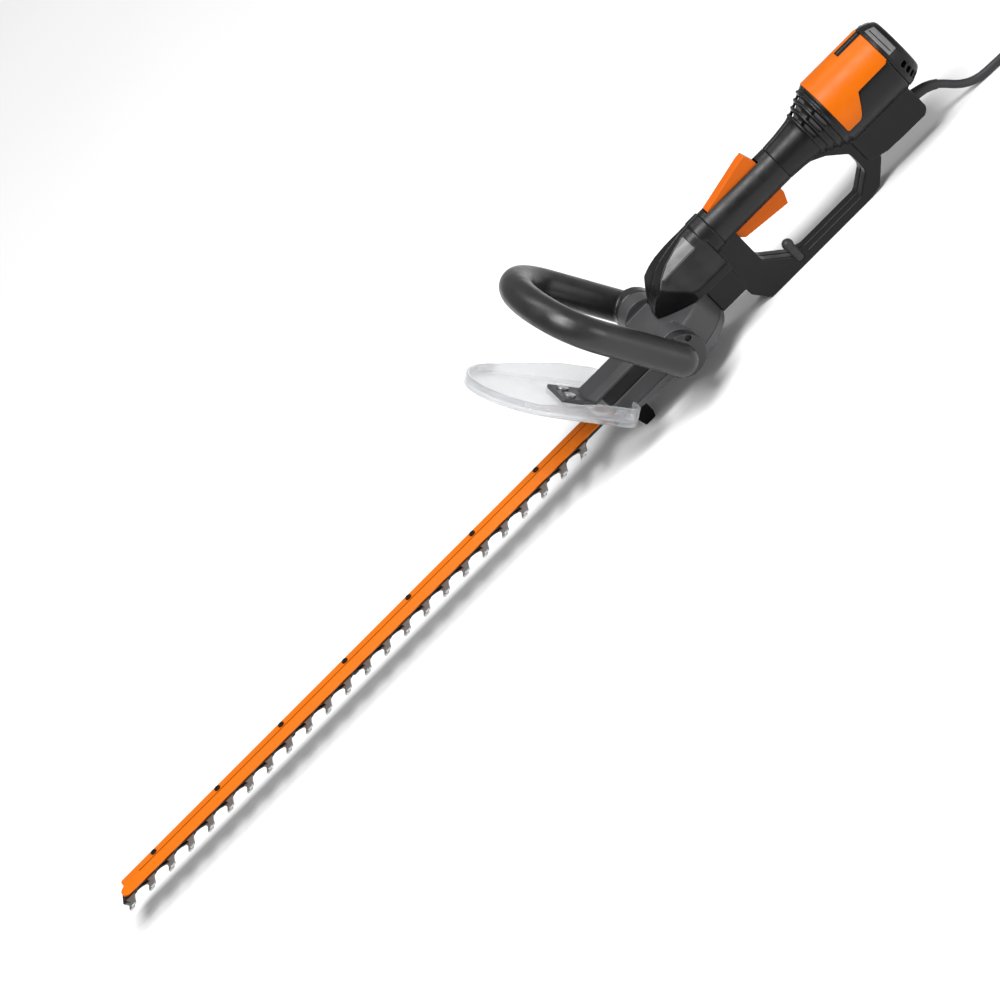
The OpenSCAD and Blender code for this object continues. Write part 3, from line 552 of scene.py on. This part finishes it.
FLANK_LEAN = 42.6  # slope of the gear case flank, degrees
FLANK_Y, FLANK_Z = 26.75, 52.75  # a point on the flank, mm
FLANK_START = -112  # x from which the panel's columns are measured
FLANK_SUNK = 1.1  # depth of the panel below the flank
FLANK_COLUMNS = (20.5, 21.5, 72, 73)
FLANK_ROWS = (-6, -5, 5, 6)


def flank_shade_panel(side):
    """Painted shade: a dark panel in the recess of one sloping flank of the gear case, standing for
    the shade there.
    """
    name = "flank_shade_panel_far" if side == FAR else "flank_shade_panel_near"
    slope = Matrix.Rotation(math.radians(-side * FLANK_LEAN), 3, "X")
    start = at(FLANK_START, side * FLANK_Y, FLANK_Z)
    rows = [[start + slope @ Vector((x, y, -FLANK_SUNK)) * MM for y in FLANK_ROWS]
            for x in FLANK_COLUMNS]
    # painted shade: a near-black sheet laid in the recess where shade falls
    inset_sheet_piece(name, sheet_mesh(name, rows), "foot_black", 0.8, 0.3)


END_PROFILE = ((315.4, 35.8), (318.6, 34.75), (319.6, 34.35), (324.6, 32.0))  # x and radius, mm
END_ARC = range(11, 70, 3)  # degrees from the top
GROOVE_COLUMN = 1


def end_panel(side):
    """Bright curved panel with a groove, on one flank of the rear cap."""
    name = "end_panel_far" if side == FAR else "end_panel_near"
    angles = [math.radians(a) for a in END_ARC]
    rows = [[at(x, side * r * math.sin(a), SHAFT_Z + r * math.cos(a)) for x, r in END_PROFILE]
            for a in angles]
    groove = {(i, GROOVE_COLUMN) for i in range(1, len(angles) - 2)}
    inset_sheet_piece(name, sheet_mesh(name, rows, groove), "inlay_grey", 0.9, 0.2)


for panel_side in (NEAR, FAR):
    # the flank panels are painted shade; the end panels are real trim
    flank_shade_panel(panel_side)
    end_panel(panel_side)


# ---- screws and bolts with driven heads ----

def driven(name, node, heads, axis, across, depth):
    """A copy of a fastener node with a hexagon socket sunk in each head along axis,
    across mm over its corners and depth mm deep. heads are the tops of the heads."""
    obj = link(name, NODES[node].data.copy())
    turn = Vector(axis).to_track_quat("Z", "Y").to_matrix().to_4x4()
    sockets = bmesh.new()
    places = [Matrix.Translation(head) @ turn for head in heads]
    add_rods(sockets, places, 6, across / 2, 2 * depth)
    add_weld(obj)
    cutter = cut_away(obj, sockets)
    add_bevel(obj, 0.3, 2, 40)
    settle(obj)
    bpy.data.objects.remove(cutter)
    smooth_shade(obj)
    return finish_piece(obj, [node])


UP = (0, 0, 1)
ACROSS = (0, 1, 0)

BOLT_START, BOLT_PITCH, BOLT_COUNT = -676, 82.65, 7  # along x
BOLT_Y, BOLT_TOP = 4, 40.2
BOLTS = [at(BOLT_START + BOLT_PITCH * i, BOLT_Y, BOLT_TOP) for i in range(BOLT_COUNT)]
driven("bar_bolts", "blade_bolts", BOLTS, UP, 3.0, 0.9)

CASE_SCREW_TOP = 26.6
CASE_SCREWS = [at(x, y, CASE_SCREW_TOP) for x in (-70, -48) for y in (-29.2, 29.2)]
driven("base_screws", "case_screws", CASE_SCREWS, UP, 2.6, 1.2)

HUB_SCREWS = ((3, 62.5), (-26.8, 42))  # x and z of the two screws in each bail hub
HUB_SCREW_TOP = 69.5
HANDLE_SCREWS = [at(x, side * HUB_SCREW_TOP, z) for x, z in HUB_SCREWS for side in (NEAR, FAR)]
driven("bail_screws", "handle_screws", HANDLE_SCREWS, ACROSS, 3.0, 0.8)

SHELL_SCREW_TOP = 11.9
SHELL_SCREW_PLACES = ((88, 26), (114, 12.5), (200, 4.6), (238, 34))  # x and z, round the guard
SHELL_SCREWS = [at(x, SHELL_SCREW_TOP, z) for x, z in SHELL_SCREW_PLACES]
driven("handle_shell_screws", "shell_screws", SHELL_SCREWS, ACROSS, 2.8, 1.2)

SHIELD_LEAN = Matrix.Rotation(math.radians(-34.5), 3, "Y")
SHIELD_FOOT = at(-85.5, 0, 27)
SHIELD_AXIS = SHIELD_LEAN @ Vector((1, 0, 0))
SHIELD_SCREWS = [SHIELD_FOOT + SHIELD_LEAN @ Vector((8.9, y, 54)) * MM for y in (-10, 10)]
driven("guard_screws", "shield_screws", SHIELD_SCREWS, SHIELD_AXIS, 3.0, 1.0)


# ---- bail handle ----

BAIL_R = 15.5  # tube radius, mm
BAIL_W = 77.0  # arm centre line from the middle
BAIL_LEAN = 27.0  # forward lean, degrees
BAIL_FOOT = at(-15.5, 0, 54)
BAIL_SIDES = 48
ARM_UP = 82.5  # length of the straight arm
ARM_STEPS = 12
CORNER = 46.0  # bend radius of the shoulders
CORNER_TURN = 60  # degrees turned in each shoulder
CROWN = 108.0  # bend radius of the top
HUB = (-10.5, 51.5)  # x and z of the hub centre
HUB_R = 21.4
HUB_Y = 63.5
HUB_WIDTH = 15
# radius, length and y of the hole and of the head recess of each hub screw
SCREW_HOLES = ((1.95, 18, 63), (3.2, 3.8, 70.2))
FACING_Y = Matrix.Rotation(math.pi / 2, 4, "X")


def bail_stations():
    """Places along the tube in its own plane: across, up, radius, direction of the outer side."""
    def outward(t):
        return 0 if t > 0 else 180

    def foot(t):
        turns = [-88, -80, -70, -60, -50, -40, -30, -20, -10, 0]
        return [(t * BAIL_W, BAIL_R * math.sin(math.radians(a)),
                 BAIL_R * math.cos(math.radians(a)), outward(t)) for a in turns]

    def arm(t):
        return [(t * BAIL_W, ARM_UP * k / ARM_STEPS, BAIL_R, outward(t))
                for k in range(1, ARM_STEPS)]

    def corner(t):
        rows = []
        for a in range(0, CORNER_TURN + 1, 4):
            r = math.radians(a)
            rows.append((t * (BAIL_W - CORNER + CORNER * math.cos(r)),
                         ARM_UP + CORNER * math.sin(r), BAIL_R, a if t > 0 else 180 - a))
        return rows

    rise = ARM_UP + (CORNER - CROWN) * math.sin(math.radians(CORNER_TURN))
    crown = [(CROWN * math.cos(math.radians(a)), rise + CROWN * math.sin(math.radians(a)),
              BAIL_R, a) for a in range(CORNER_TURN + 3, 180 - CORNER_TURN, 3)]
    one_side = foot(1) + arm(1) + corner(1)
    other_side = foot(-1) + arm(-1) + corner(-1)
    return one_side + crown + other_side[::-1]


def bail_mesh():
    """The swept tube and the two hub drums, as overlapping closed forms."""
    bm = bmesh.new()
    lean = Matrix.Rotation(math.radians(-BAIL_LEAN), 4, "Y")
    rings = []
    for across, up, radius, direction in bail_stations():
        d = math.radians(direction)
        ring = []
        for j in range(BAIL_SIDES):
            a = 2 * math.pi * j / BAIL_SIDES
            spot = Vector((-radius * math.sin(a), across + radius * math.cos(a) * math.cos(d),
                           up + radius * math.cos(a) * math.sin(d)))
            ring.append(bm.verts.new(BAIL_FOOT + lean @ spot * MM))
        rings.append(ring)
    for a, b in zip(rings, rings[1:]):
        for j in range(BAIL_SIDES):
            k = (j + 1) % BAIL_SIDES
            bm.faces.new((a[j], b[j], b[k], a[k]))
    bm.faces.new(rings[0])
    bm.faces.new(reversed(rings[-1]))
    bmesh.ops.recalc_face_normals(bm, faces=bm.faces)
    hubs = [Matrix.Translation(at(HUB[0], side * HUB_Y, HUB[1])) @ FACING_Y
            for side in (NEAR, FAR)]
    add_rods(bm, hubs, 96, HUB_R, HUB_WIDTH)
    return mesh_from("bail", bm)


def make_bail():
    obj = link("bail_cover", bail_mesh())
    soften(obj, 1.0, 6)
    holes = bmesh.new()
    for x, z in HUB_SCREWS:
        for side in (NEAR, FAR):
            for radius, length, y in SCREW_HOLES:
                place = Matrix.Translation(at(x, side * y, z)) @ FACING_Y
                add_rods(holes, [place], 32, radius, length)
    cutter = cut_away(obj, holes, crossing=True)
    settle(obj)
    bpy.data.objects.remove(cutter)
    smooth_shade(obj, 50)
    finish_piece(obj, ["bail_handle"])


make_bail()


# ---- light, floor ----

LIGHTS = (  # name, place, target, size, power
    ("overhead", (0.1, -1.0, 3.3), (0, 0, 0.05), (2.8, 1.1), 150),
    ("key", (-1.2, -1.9, 3.4), (0, 0, 0.05), (1.9, 0.8), 34),
    ("back", (0.7, 1.5, 3.6), (0, 0, 0.05), (2.2, 0.6), 30),
    ("front", (2.4, -2.6, 0.8), (0.1, 0, 0.08), (1.4, 1.0), 30),
)
WORLD_STRENGTH = 0.3
FLOOR_HALF = 6.0
FLOOR_TONES = ((0.76, 0.76, 0.76), (0.79, 0.79, 0.79))


def area_light(name, place, target, size, power):
    data = bpy.data.lights.new(name, "AREA")
    data.shape = "RECTANGLE"
    data.size, data.size_y = size
    data.energy = power
    lamp = link(name, data)
    lamp.location = place
    lamp.rotation_euler = (Vector(target) - Vector(place)).to_track_quat("-Z", "Y").to_euler()


def make_studio():
    for light in LIGHTS:
        area_light(*light)
    world = bpy.data.worlds.new("studio")
    world.use_nodes = True
    background = world.node_tree.nodes["Background"]
    background.inputs["Color"].default_value = (1, 1, 1, 1)
    background.inputs["Strength"].default_value = WORLD_STRENGTH
    bpy.context.scene.world = world
    bm = bmesh.new()
    bmesh.ops.create_grid(bm, x_segments=1, y_segments=1, size=FLOOR_HALF)
    floor = link("floor", mesh_from("floor", bm))
    s = Shader("studio_floor")
    s.colour(s.mix(s.noise(3, 2), *FLOOR_TONES))
    s.set(Roughness=0.7)
    floor.data.materials.append(s.material)
    bpy.context.scene.view_settings.view_transform = "Standard"


make_studio()
